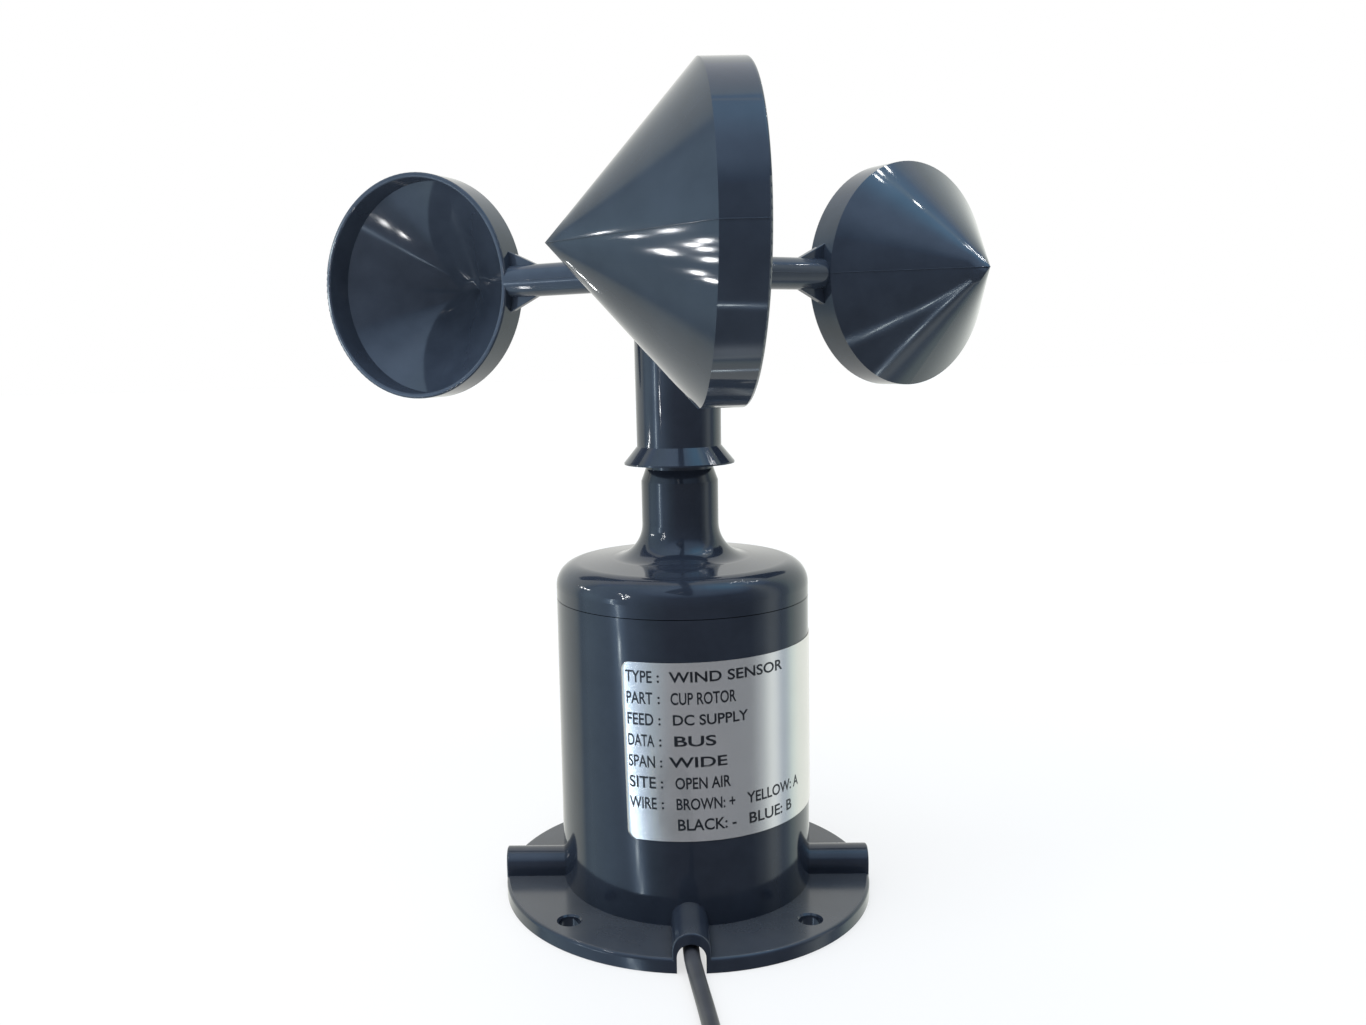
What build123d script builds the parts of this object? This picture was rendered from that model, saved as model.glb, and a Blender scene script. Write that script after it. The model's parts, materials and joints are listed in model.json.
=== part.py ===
from build123d import *
import math
import os

# Cup anemometer with a three-cup rotor. Millimetres, +Z up, origin at the centre of the
# base's underside, front cable channel along -Y. Angles are measured from -Y towards +X.

# ---- driving dimensions: base housing
FLANGE_R = 40.0
FLANGE_T = 3.0
EDGE_ROUND = 0.7
BODY_FOOT_R = 27.2
BODY_TOP_R = 26.75
SEAM_Z = 65.9
SEAM_GAP = 0.15
CAVITY_R = 24.2
MOUNT_PCD = 69.0
MOUNT_HOLE_R = 2.25
MOUNT_CHAMFER = 0.35
MOUNT_ANGLE = 45.0

# ---- cable channels under the flange
CHANNEL_R = 2.8
CHANNEL_Z = 3.2
ARCH_R = 3.75
ARCH_Z = 4.45
ARCH_ROUND = 0.35
CABLE_R = 1.6
LEAD_Z = 5.0
GROMMET_R = 2.4
GROMMET_OUT_Y = -31.0
GROMMET_IN_Y = -22.5
LEAD_END_Y = -14.0

# ---- bottom cover
RECESS_R = 25.5
LEDGE_Z = 2.6
COVER_Z0 = 0.3
COVER_T = 1.7
GASKET_T = LEDGE_Z - COVER_Z0 - COVER_T
COVER_SCREW_PCR = 20.0
COVER_SCREW_R = 1.5
COVER_BOSS_R = 3.4
COVER_BOSS_TOP = 14.0

# ---- upper cap and neck
SHOULDER_Z = 73.4
SHOULDER_ROUND = 5.0
CROWN_Z = 74.0
NECK_R = 8.1
NECK_FILLET = 7.0
NECK_CHAMFER_Z = 90.1
COLLAR_R = 7.15
COLLAR_Z = 92.7
NECK_TOP_Z = 95.0
CAP_WALL = 2.5
SPIGOT_R = 24.0
SPIGOT_Z = 59.5
O_RING_Z = 62.5
TUBE_R = 8.0
TUBE_BOTTOM_Z = 57.0

# ---- shaft and 4 x 11 x 4 mm ball bearings
SHAFT_R = 2.0
BEARING_R = 5.5
BEARING_W = 4.0
UPPER_BEARING_Z = 88.8
LOWER_BEARING_Z = 57.6
INNER_RING_R = 3.05
OUTER_RING_R = 4.45
PITCH_R = 3.75
BALL_R = 0.79
BALLS = 7
RACE_CLEARANCE = 0.06
SHAFT_BOTTOM_Z = 44.0
SHAFT_TOP_Z = 137.2

# ---- electronics
PCB_R = 21.0
PCB_Z = 38.0
PCB_T = 1.6
STANDOFF_PCR = 17.5
STANDOFF_ANGLES = (90, 210, 330)
STANDOFF_R = 2.4
DISC_R = 11.5
DISC_Z = 47.0
DISC_T = 0.6
DISC_SLOTS = 20
SENSOR_R = 10.2

# ---- rotor
HUB_R = 8.85
HUB_TOP_R = 9.05
HUB_TOP_Z = 140.5
SKIRT_R = 11.6
SKIRT_Z = 93.7
SKIRT_TOP_Z = 97.4
SKIRT_EDGE = 0.35
HUB_CAVITY_R = 7.75
HUB_CAVITY_Z = 98.6
NUT_SEAT_Z = 131.0
NUT_POCKET_R = 4.6
ARM_Z = 133.0
ARM_R = 3.45
ARM_START = 5.2
ROTOR_ANGLE = 5.0
CUP_CIRCLE_R = 64.4
CUP_R = 25.2
CUP_WALL = 1.2
CUP_RIM = 7.1
CONE_DEPTH = 22.5
MOUTH_OFFSET = 3.3
GUSSET_START = 33.2
GUSSET_RISE = 6.6
GUSSET_T = 1.5
GUSSET_X = -0.3
GUSSET_EDGE = 0.2

# ---- label
LABEL_T = 0.15
LABEL_Z0 = 21.2
LABEL_H = 36.4
LABEL_START = -26.9
LABEL_W = 60.0
LABEL_CORNER = 1.7

# ---- loose cable
CABLE_ROUTE = [
    (0.0, -31.0, 5.0),
    (-0.2, -38.0, 3.5),
    (0.9, -45.5, 2.2),
    (2.1, -54.0, 1.66),
    (3.2, -64.0, 1.62),
    (4.4, -75.0, 1.62),
    (5.0, -86.0, 1.62),
    (4.9, -97.0, 1.62),
]
COIL_X = -17.5
COIL_Y = -97.0
COIL_INNER_R = 15.9
COIL_OUTER_R = 22.4
COIL_LAYER = 3.3
TAIL_ROUTE = [
    (-17.5, -119.4, 4.92),
    (-29.0, -119.6, 3.35),
    (-40.4, -116.3, 1.75),
    (-48.5, -109.6, 1.65),
]
END_WIRE_L = 6.0
END_TIP_L = 3.0
WIRE_R = 0.5

WIRE_COLOURS = ("brown", "black", "yellow", "blue")
PARTS = "parts"


def export(node, shape):
    export_step(shape, os.path.join(PARTS, node + ".step"))


def group(solids):
    return Compound(children=list(solids))


def spin(points):
    """Solid of revolution about Z of a closed (radius, height) outline."""
    outline = Polyline([(r, 0, z) for r, z in points], close=True)
    return revolve(make_face(outline), Axis.Z)


def rod(radius, z0, z1, x=0.0, y=0.0):
    return Pos(x, y, (z0 + z1) / 2) * Cylinder(radius, z1 - z0)


def ring(r_out, r_in, z0, z1):
    return rod(r_out, z0, z1) - rod(r_in, z0 - 1, z1 + 1)


def rod_y(radius, y0, y1, x, z):
    return Pos(x, (y0 + y1) / 2, z) * Rot(90, 0, 0) * Cylinder(radius, abs(y1 - y0))


def at_angle(angle, radius=0.0, z=0.0):
    """Place something at an azimuth measured from -Y towards +X."""
    a = math.radians(angle)
    return Pos(radius * math.sin(a), -radius * math.cos(a), z)


def body_radius(z):
    return BODY_FOOT_R + (BODY_TOP_R - BODY_FOOT_R) * z / SEAM_Z


# ------------------------------------------------------------------ base housing
def channel_arch(angle):
    """Arched rib on the flange, flush with the rim, that covers one cable channel."""
    height = ARCH_Z + ARCH_R
    arch = rod_y(ARCH_R, -FLANGE_R - 2, -CAVITY_R - 1, 0, ARCH_Z)
    arch += Pos(0, -(FLANGE_R + 2 + CAVITY_R + 1) / 2, ARCH_Z / 2) * Box(
        2 * ARCH_R, FLANGE_R + 1 - CAVITY_R, ARCH_Z)
    arch &= rod(FLANGE_R, 0, height + 1)
    end = arch.faces().sort_by(Axis.Y)[0]
    arch = fillet([edge for edge in end.edges() if edge.center().Z > 0.1], ARCH_ROUND)
    return Rot(0, 0, angle) * arch


def channel_space(angle):
    space = rod_y(CHANNEL_R, -FLANGE_R - 2, -body_radius(0), 0, CHANNEL_Z)
    length = FLANGE_R + 2 - body_radius(0)
    space += Pos(0, -(FLANGE_R + 2 + body_radius(0)) / 2, CHANNEL_Z / 2 - 1) * Box(
        2 * CHANNEL_R, length, CHANNEL_Z + 2)
    return Rot(0, 0, angle) * space


def make_base_housing():
    flange = rod(FLANGE_R, 0, FLANGE_T)
    flange = fillet(flange.edges().group_by(Axis.Z)[-1], EDGE_ROUND)
    shell = spin([(0, 0), (BODY_FOOT_R, 0), (BODY_TOP_R, SEAM_Z - SEAM_GAP), (0, SEAM_Z - SEAM_GAP)])
    housing = flange + shell
    for angle in (0, 90, -90):
        housing += channel_arch(angle)
    cavity = rod(CAVITY_R, LEDGE_Z, SEAM_Z)
    bosses = []
    for k in range(4):
        place = at_angle(MOUNT_ANGLE + 90 * k, COVER_SCREW_PCR)
        boss = place * rod(COVER_BOSS_R, LEDGE_Z, COVER_BOSS_TOP)
        web = at_angle(MOUNT_ANGLE + 90 * k, COVER_SCREW_PCR + 2.6) * Rot(0, 0, MOUNT_ANGLE + 90 * k) * (
            Pos(0, 0, (LEDGE_Z + COVER_BOSS_TOP) / 2) * Box(3.0, 5.0, COVER_BOSS_TOP - LEDGE_Z))
        bosses.append((boss + web) & rod(CAVITY_R + 0.5, 0, COVER_BOSS_TOP))
    housing -= cavity
    housing -= rod(RECESS_R, -1, LEDGE_Z)
    for boss in bosses:
        housing += boss
    for k in range(4):
        housing -= at_angle(MOUNT_ANGLE + 90 * k, COVER_SCREW_PCR) * rod(COVER_SCREW_R, LEDGE_Z - 1, 11.5)
        hole = rod(MOUNT_HOLE_R, -1, FLANGE_T + 1) + Pos(0, 0, FLANGE_T - MOUNT_CHAMFER / 2) * Cone(
            MOUNT_HOLE_R, MOUNT_HOLE_R + MOUNT_CHAMFER, MOUNT_CHAMFER)
        housing -= at_angle(MOUNT_ANGLE + 90 * k, MOUNT_PCD / 2) * hole
    for angle in (0, 90, -90):
        housing -= channel_space(angle)
    housing -= rod_y(GROMMET_R, -FLANGE_R + 4.5, -CAVITY_R + 2, 0, LEAD_Z)
    return housing


def make_bottom_cover():
    cover = rod(RECESS_R - 0.2, COVER_Z0, COVER_Z0 + COVER_T)
    for k in range(4):
        place = at_angle(MOUNT_ANGLE + 90 * k, COVER_SCREW_PCR)
        cover -= place * rod(COVER_SCREW_R + 0.15, -1, 4)
        cover -= place * Pos(0, 0, COVER_Z0 + 0.65) * Cone(3.0, 1.65, 1.3)
    return cover


def make_cover_gasket():
    gasket = ring(RECESS_R - 0.3, CAVITY_R - 0.6, LEDGE_Z - GASKET_T, LEDGE_Z)
    return gasket - rod_y(GROMMET_R + 0.3, -28, -20, 0, LEAD_Z)


def countersunk_screw(radius, head_r, z_head, length):
    """Cross-head countersunk screw pointing up, head underside at z_head."""
    head_h = head_r - radius
    screw = Pos(0, 0, z_head + head_h / 2) * Cone(head_r, radius, head_h)
    screw += rod(radius, z_head + head_h, z_head + length)
    for turn in (0, 90):
        screw -= Rot(0, 0, turn) * Pos(0, 0, z_head + 0.35) * Box(head_r * 1.1, 0.5, 0.7)
    return screw


def pan_screw(radius, head_r, z_head, length, head_h=1.4):
    """Cross-head pan screw pointing up, head underside at z_head."""
    screw = rod(head_r, z_head, z_head + head_h)
    screw = fillet(screw.edges().group_by(Axis.Z)[0], head_h * 0.35)
    screw += rod(radius, z_head + head_h, z_head + length)
    for turn in (0, 90):
        screw -= Rot(0, 0, turn) * Pos(0, 0, z_head + 0.3) * Box(head_r * 1.1, 0.45, 0.6)
    return screw


def make_cover_screws():
    return group(
        at_angle(MOUNT_ANGLE + 90 * k, COVER_SCREW_PCR) * countersunk_screw(COVER_SCREW_R - 0.02, 2.8, 0.35, 9.0)
        for k in range(4))


# ------------------------------------------------------------------ upper cap
def neck_outline():
    """Right half of the cap's outside, from the seam up to the neck's top, as edges."""
    crown_r = NECK_R + NECK_FILLET
    edge_r = BODY_TOP_R - SHOULDER_ROUND
    s45 = math.sqrt(0.5)
    shoulder = ThreePointArc(
        (BODY_TOP_R, 0, SHOULDER_Z - SHOULDER_ROUND),
        (edge_r + SHOULDER_ROUND * s45, 0, SHOULDER_Z - SHOULDER_ROUND * (1 - s45)),
        (edge_r, 0, SHOULDER_Z))
    crown = Line((edge_r, 0, SHOULDER_Z), (crown_r, 0, CROWN_Z))
    foot = ThreePointArc(
        (crown_r, 0, CROWN_Z),
        (crown_r - NECK_FILLET * s45, 0, CROWN_Z + NECK_FILLET * (1 - s45)),
        (NECK_R, 0, CROWN_Z + NECK_FILLET))
    upper = Polyline(
        (NECK_R, 0, CROWN_Z + NECK_FILLET), (NECK_R, 0, NECK_CHAMFER_Z), (COLLAR_R, 0, COLLAR_Z),
        (COLLAR_R, 0, NECK_TOP_Z), (0, 0, NECK_TOP_Z), (0, 0, SEAM_Z), (BODY_TOP_R, 0, SEAM_Z),
        (BODY_TOP_R, 0, SHOULDER_Z - SHOULDER_ROUND))
    return shoulder + crown + foot + upper


def make_upper_cap():
    cap = revolve(make_face(neck_outline()), Axis.Z)
    inner_r = BODY_TOP_R - CAP_WALL
    roof = SHOULDER_Z - CAP_WALL
    cap -= spin([(0, SEAM_Z - 1), (inner_r, SEAM_Z - 1), (inner_r, roof - 3), (inner_r - 3, roof), (0, roof)])
    cap += ring(SPIGOT_R, SPIGOT_R - 2.0, SPIGOT_Z, SEAM_Z + 0.01)
    cap += ring(inner_r + 0.2, SPIGOT_R - 2.0, SEAM_Z, SEAM_Z + 1.2)
    cap += rod(TUBE_R, TUBE_BOTTOM_Z, roof + 1)
    for angle in STANDOFF_ANGLES:
        place = at_angle(angle, STANDOFF_PCR)
        cap += place * rod(3.6, roof - 5.0, roof + 0.5)
        cap -= place * rod(1.25, roof - 6.0, roof - 0.5)
    cap -= rod(4.1, TUBE_BOTTOM_Z - 1, NECK_TOP_Z + 1)
    cap -= rod(BEARING_R, UPPER_BEARING_Z, NECK_TOP_Z + 1)
    cap -= rod(BEARING_R, TUBE_BOTTOM_Z - 1, LOWER_BEARING_Z + BEARING_W)
    groove = ring(SPIGOT_R + 0.5, SPIGOT_R - 1.3, O_RING_Z - 0.9, O_RING_Z + 0.9)
    return cap - groove


def make_o_ring():
    return Pos(0, 0, O_RING_Z) * Torus(SPIGOT_R - 0.54, 0.7)


# ------------------------------------------------------------------ bearings
def race_groove(z_mid):
    return Pos(0, 0, z_mid) * Torus(PITCH_R, BALL_R + RACE_CLEARANCE)


def bearing_outer(z0):
    outer = ring(BEARING_R, OUTER_RING_R, z0, z0 + BEARING_W) - race_groove(z0 + BEARING_W / 2)
    for z in (z0 + 0.15, z0 + BEARING_W - 0.55):
        outer -= ring(OUTER_RING_R + 0.25, OUTER_RING_R - 0.5, z, z + 0.4)
    return outer


def bearing_inner(z0):
    return ring(INNER_RING_R, SHAFT_R, z0, z0 + BEARING_W) - race_groove(z0 + BEARING_W / 2)


def bearing_shields(z0):
    low = ring(OUTER_RING_R + 0.25, INNER_RING_R + 0.1, z0 + 0.2, z0 + 0.5)
    return group([low, Pos(0, 0, BEARING_W - 0.7) * low])


def ball_centres(z_mid):
    return [at_angle(360 / BALLS * k, PITCH_R, z_mid) for k in range(BALLS)]


def bearing_balls(z0):
    return group(place * Sphere(BALL_R) for place in ball_centres(z0 + BEARING_W / 2))


def bearing_cage(z0):
    z_mid = z0 + BEARING_W / 2
    cage = ring(PITCH_R + 0.3, PITCH_R - 0.3, z_mid - 1.05, z_mid + 0.45)
    for place in ball_centres(z_mid):
        cage -= place * Sphere(BALL_R + 0.02)
    return cage


# ------------------------------------------------------------------ shaft assembly
def make_shaft():
    shaft = rod(SHAFT_R - 0.01, SHAFT_BOTTOM_Z, SHAFT_TOP_Z)
    shaft = chamfer(shaft.edges().group_by(Axis.Z)[0], 0.4)
    shaft -= ring(SHAFT_R + 1, 1.6, LOWER_BEARING_Z - 0.75, LOWER_BEARING_Z - 0.1)
    flat = Pos(0, SHAFT_R + 0.6, (100 + NUT_SEAT_Z) / 2) * Box(6, 2, NUT_SEAT_Z - 100)
    return shaft - flat


def make_shaft_clip():
    """E-clip that sits in the shaft's groove under the lower bearing."""
    clip = ring(3.6, 1.62, LOWER_BEARING_Z - 0.7, LOWER_BEARING_Z - 0.12)
    mouth = Pos(0, -3, LOWER_BEARING_Z - 0.4) * Box(2.4, 6, 2)
    reliefs = [Rot(0, 0, a) * rod(0.7, LOWER_BEARING_Z - 2, LOWER_BEARING_Z + 1, 0, -2.2) for a in (110, -110)]
    clip -= mouth
    for relief in reliefs:
        clip -= relief
    return clip


def make_bearing_spacer():
    return ring(2.9, SHAFT_R + 0.02, LOWER_BEARING_Z + BEARING_W, UPPER_BEARING_Z)


def make_encoder_disc():
    disc = ring(DISC_R, SHAFT_R + 0.6, DISC_Z, DISC_Z + DISC_T)
    for k in range(DISC_SLOTS):
        slot = Pos(0, -SENSOR_R + 0.4, DISC_Z) * Box(1.3, 2.4, 4)
        disc -= Rot(0, 0, 360 / DISC_SLOTS * k) * slot
    return disc


def make_encoder_collar():
    collar = rod(4.6, DISC_Z + DISC_T, DISC_Z + DISC_T + 4.6) + rod(SHAFT_R + 0.58, DISC_Z - 0.6, DISC_Z + 1)
    collar -= rod(SHAFT_R, DISC_Z - 2, DISC_Z + 8)
    return collar - rod_y(0.8, -6, 0, 0, DISC_Z + DISC_T + 2.4)


def make_collar_screw():
    z = DISC_Z + DISC_T + 2.4
    screw = rod_y(0.78, -4.5, -SHAFT_R - 0.02, 0, z)
    return screw - rod_y(0.4, -5, -3.4, 0, z)


# ------------------------------------------------------------------ electronics
def make_pcb():
    pcb = rod(PCB_R, PCB_Z, PCB_Z + PCB_T)
    for angle in STANDOFF_ANGLES:
        pcb -= at_angle(angle, STANDOFF_PCR) * rod(1.3, PCB_Z - 1, PCB_Z + 3)
    return pcb


def make_standoffs():
    top = SHOULDER_Z - CAP_WALL - 5.0
    solids = []
    for angle in STANDOFF_ANGLES:
        post = extrude(RegularPolygon(STANDOFF_R + 0.2, 6), top - PCB_Z - PCB_T)
        post = Pos(0, 0, PCB_Z + PCB_T) * post + rod(1.2, top, top + 4.0)
        post -= rod(1.05, PCB_Z, PCB_Z + PCB_T + 6)
        solids.append(at_angle(angle, STANDOFF_PCR) * post)
    return group(solids)


def make_pcb_screws():
    return group(
        at_angle(angle, STANDOFF_PCR) * pan_screw(1.0, 2.1, PCB_Z - 1.4, 7.0)
        for angle in STANDOFF_ANGLES)


TERMINALS = 4
TERMINAL_PITCH = 3.5
TERMINAL_Y = -9.0
TERMINAL_D = 6.5
TERMINAL_H = 7.6


def terminal_x(k):
    return (k - (TERMINALS - 1) / 2) * TERMINAL_PITCH


def make_terminal_block():
    z_mid = PCB_Z - TERMINAL_H / 2
    block = Pos(0, TERMINAL_Y, z_mid) * Box(TERMINALS * TERMINAL_PITCH + 0.8, TERMINAL_D, TERMINAL_H)
    block = chamfer(block.edges().filter_by(Axis.X).group_by(Axis.Z)[0], 1.2)
    for k in range(TERMINALS):
        x = terminal_x(k)
        block -= rod(1.15, PCB_Z - TERMINAL_H - 1, PCB_Z - TERMINAL_H + 3.2, x, TERMINAL_Y + 1.2)
        block -= Pos(x, TERMINAL_Y - TERMINAL_D / 2 + 1.5, PCB_Z - 3.0) * Box(2.2, 5.0, 2.4)
    return block


def make_terminal_screws():
    solids = []
    for k in range(TERMINALS):
        x = terminal_x(k)
        screw = rod(1.1, PCB_Z - TERMINAL_H + 1.2, PCB_Z - TERMINAL_H + 3.18, x, TERMINAL_Y + 1.2)
        screw -= Pos(x, TERMINAL_Y + 1.2, PCB_Z - TERMINAL_H + 1.2) * Box(2.4, 0.4, 1.0)
        solids.append(screw)
    return group(solids)


def make_opto_sensor():
    """Slotted sensor: two posts on a foot, with the disc's rim running between them."""
    top = PCB_Z + PCB_T
    gap_z = DISC_Z + DISC_T / 2
    height = gap_z + 3.6 - top
    block = Pos(0, SENSOR_R + 2.4, top + height / 2) * Box(5.2, 8.4, height)
    return block - Pos(0, SENSOR_R - 0.2, gap_z) * Box(8, 7.4, 2.6)


def make_chip(length, width, height, x, y, legs):
    """Chip with a row of bent legs on each long side, standing on the board."""
    top = PCB_Z + PCB_T
    chip = Pos(x, y, top + 0.2 + height / 2) * Box(length, width, height)
    chip = chamfer(chip.edges().group_by(Axis.Z)[-1], 0.15)
    step = length / legs
    for k in range(legs):
        lx = x - length / 2 + step * (k + 0.5)
        for side in (-1, 1):
            chip += Pos(lx, y + side * (width / 2 + 0.3), top + 0.35) * Box(step * 0.4, 1.2, 0.7)
    return chip


def make_capacitors():
    top = PCB_Z + PCB_T
    solids = []
    for x, y in ((-12.5, 1.6), (11.0, 4.8)):
        can = rod(2.5, top, top + 5.4, x, y)
        can = fillet(can.edges().group_by(Axis.Z)[-1], 0.5)
        solids.append(can)
    return group(solids)


def make_regulator():
    top = PCB_Z + PCB_T
    body = Pos(-9.5, -8.2, top + 0.8) * Box(6.4, 3.6, 1.6)
    tab = Pos(-9.5, -5.8, top + 0.3) * Box(3.0, 1.6, 0.6)
    for x in (-11.8, -9.5, -7.2):
        body += Pos(x, -10.4, top + 0.3) * Box(0.8, 1.4, 0.6)
    return body + tab


# ------------------------------------------------------------------ wires and cable
def run_lengths(points):
    return [(Vector(*b) - Vector(*a)).length for a, b in zip(points, points[1:])]


def corner_radii(points):
    """Arc radius at each inner point: 0.45 of the shorter run over tan(half the turn)."""
    runs = run_lengths(points)
    radii = []
    for k in range(1, len(points) - 1):
        before = Vector(*points[k]) - Vector(*points[k - 1])
        after = Vector(*points[k + 1]) - Vector(*points[k])
        turn = math.radians(before.get_angle(after))
        radii.append(0.45 * min(runs[k - 1], runs[k]) / math.tan(turn / 2))
    return radii


def bent_tube(name, points, radius):
    """Round tube along straight runs joined by tangent arcs."""
    radii = corner_radii(points)
    path = FilletPolyline(*points, radius=radii)
    section = Plane(path @ 0, z_dir=path % 0) * Circle(radius)
    solid = sweep(section, path)
    expected = math.pi * radius ** 2 * path.length
    print(f"{name}: length {path.length:.1f}, radii {[round(r, 1) for r in radii]}, "
          f"volume ratio {solid.volume / expected:.4f}")
    return solid


def inner_wire(k):
    """One insulated conductor from the end of the cable's jacket to its terminal."""
    side = -1 if k < 2 else 1
    outer = k in (0, 3)
    spread = (k - 1.5) * 0.9
    x_end = terminal_x(k)
    y_end = TERMINAL_Y - TERMINAL_D / 2
    points = [
        (side * 0.62, LEAD_END_Y + 0.25, LEAD_Z + (-0.62 if outer else 0.62)),
        (spread * 1.5, LEAD_END_Y + 5.5, LEAD_Z + (-0.2 if outer else 1.3)),
        (spread * 2.0, LEAD_END_Y + 8.5, LEAD_Z + 5.5),
        (spread * 2.6, LEAD_END_Y + 6.0, LEAD_Z + 11.0),
        (spread * 3.2, LEAD_END_Y + 0.6, LEAD_Z + 15.0),
        (spread * 3.6, LEAD_END_Y - 3.9, LEAD_Z + 19.6),
        (x_end, LEAD_END_Y - 5.0, PCB_Z - 7.2),
        (x_end, LEAD_END_Y - 3.2, PCB_Z - 3.4),
        (x_end, y_end + 1.2, PCB_Z - 3.0),
    ]
    return points


def make_lead_in():
    return rod_y(CABLE_R, GROMMET_OUT_Y, LEAD_END_Y, 0, LEAD_Z)


def make_grommet():
    grommet = rod_y(GROMMET_R, GROMMET_OUT_Y, GROMMET_IN_Y, 0, LEAD_Z)
    for y in (-23.6, -24.9):
        grommet -= rod_y(GROMMET_R + 1, y - 0.3, y + 0.3, 0, LEAD_Z) - rod_y(GROMMET_R - 0.3, -40, 0, 0, LEAD_Z)
    return grommet - rod_y(CABLE_R, -40, 0, 0, LEAD_Z)


def make_cable_tie():
    tie = rod_y(CABLE_R + 0.7, -21.6, -19.4, 0, LEAD_Z) - rod_y(CABLE_R, -30, 0, 0, LEAD_Z)
    head = Pos(0, -20.5, LEAD_Z + CABLE_R + 1.5) * Box(3.4, 3.0, 2.2)
    return tie + head


def make_coil():
    """Outer shape of the coil of spare cable that lies on the floor."""
    z1 = 2 * CABLE_R + COIL_LAYER + 0.05
    return Pos(COIL_X, COIL_Y, 0) * ring(COIL_OUTER_R + CABLE_R, COIL_INNER_R - CABLE_R, 0, z1)


def end_wire_route(k):
    """Stripped conductor k at the free end of the cable, splayed from its neighbours."""
    start, before = Vector(*TAIL_ROUTE[-1]), Vector(*TAIL_ROUTE[-2])
    ahead = (start - before).normalized()
    aside = Vector(-ahead.Y, ahead.X, 0).normalized()
    row = (k - 1.5) * 0.85
    lift = 0.55 if k in (1, 2) else -0.55
    root = start + ahead * 0.2 + aside * (0.62 if k > 1 else -0.62) + Vector(0, 0, lift)
    mid = root + ahead * (END_WIRE_L * 0.5) + aside * (row * 0.9) + Vector(0, 0, 0.1)
    end = mid + ahead * (END_WIRE_L * 0.5) + aside * (row * 1.6) + Vector(0, 0, 0.25 * lift)
    return [root, mid, end]


def make_end_wire(name, k):
    return bent_tube(name, [tuple(p) for p in end_wire_route(k)], WIRE_R)


def make_end_tips():
    """Bare tinned ends of the four conductors."""
    tips = []
    for k in range(4):
        _, mid, end = end_wire_route(k)
        heading = Plane(end, z_dir=end - mid)
        tips.append(heading * Pos(0, 0, END_TIP_L / 2) * Cylinder(0.28, END_TIP_L))
    return group(tips)


# ------------------------------------------------------------------ label
def make_label():
    z1 = LABEL_Z0 + LABEL_H
    sweep_deg = math.degrees(LABEL_W / body_radius((LABEL_Z0 + z1) / 2))
    r0, r1 = body_radius(LABEL_Z0), body_radius(z1)
    outline = Polyline(
        (r0, 0, LABEL_Z0), (r0 + LABEL_T, 0, LABEL_Z0), (r1 + LABEL_T, 0, z1), (r1, 0, z1), close=True)
    label = Rot(0, 0, LABEL_START - 90) * revolve(make_face(outline), Axis.Z, revolution_arc=sweep_deg)
    c = LABEL_CORNER
    half_step = math.degrees(c / 2 / r0)
    for angle, inward in ((LABEL_START, 1), (LABEL_START + sweep_deg, -1)):
        for z, up in ((LABEL_Z0, 1), (z1, -1)):
            corner = Pos(0, -r0, z + up * c / 2) * Box(c, 6, c)
            corner -= rod_y(c, -r0 - 5, -r0 + 5, inward * c / 2, z + up * c)
            label -= Rot(0, 0, angle + inward * half_step) * corner
    return label


# ------------------------------------------------------------------ rotor
def cup_profile():
    """Cup section about Z: mouth at z = 0, cone pointing down."""
    tip = CUP_RIM + CONE_DEPTH
    slope = CUP_R / CONE_DEPTH
    inner_tip = tip - CUP_WALL * math.hypot(1, slope) / slope
    inner_r = CUP_R - CUP_WALL
    inner_rim = inner_tip - inner_r / slope
    return [(0, -tip), (CUP_R, -CUP_RIM), (CUP_R, 0), (inner_r, 0), (inner_r, -inner_rim), (0, -inner_tip)]


def make_gussets():
    """Thin triangular webs above and below the arm, in its vertical mid-plane."""
    rim_y = CUP_CIRCLE_R - math.sqrt(CUP_R ** 2 - GUSSET_RISE ** 2)
    slope = (GUSSET_RISE - ARM_R) / (rim_y - GUSSET_START)
    inner, outer = GUSSET_START - 0.5, rim_y + 0.9
    low, high = ARM_R - 0.5 * slope, GUSSET_RISE + 0.9 * slope
    outline = Polyline(
        (0, -inner, low), (0, -outer, high), (0, -outer, -high), (0, -inner, -low), close=True)
    webs = Pos(GUSSET_X, 0, 0) * extrude(make_face(outline), GUSSET_T / 2, both=True)
    ridges = [edge for edge in webs.edges() if edge.length > outer - inner and abs(edge.center().Z) > ARM_R]
    return fillet(ridges, GUSSET_EDGE)


def make_cup_arm():
    """Cup, arm and gussets for the front cup, with the arm along -Y and the mouth towards +X."""
    cup = spin(cup_profile())
    rim = cup.edges().group_by(Axis.Z)[-1]
    cup = fillet(rim, CUP_WALL * 0.35)
    centre = Pos(MOUTH_OFFSET, -CUP_CIRCLE_R, 0)
    cup = centre * Rot(0, 90, 0) * cup
    arm_end = CUP_CIRCLE_R - CUP_R + CUP_WALL / 2
    arm = rod_y(ARM_R, -arm_end, -ARM_START, 0, 0)
    arm += make_gussets()
    clear = centre * Rot(0, 90, 0) * rod(CUP_R - CUP_WALL / 2, -60, 60)
    return Pos(0, 0, ARM_Z) * (cup + (arm - clear))


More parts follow.
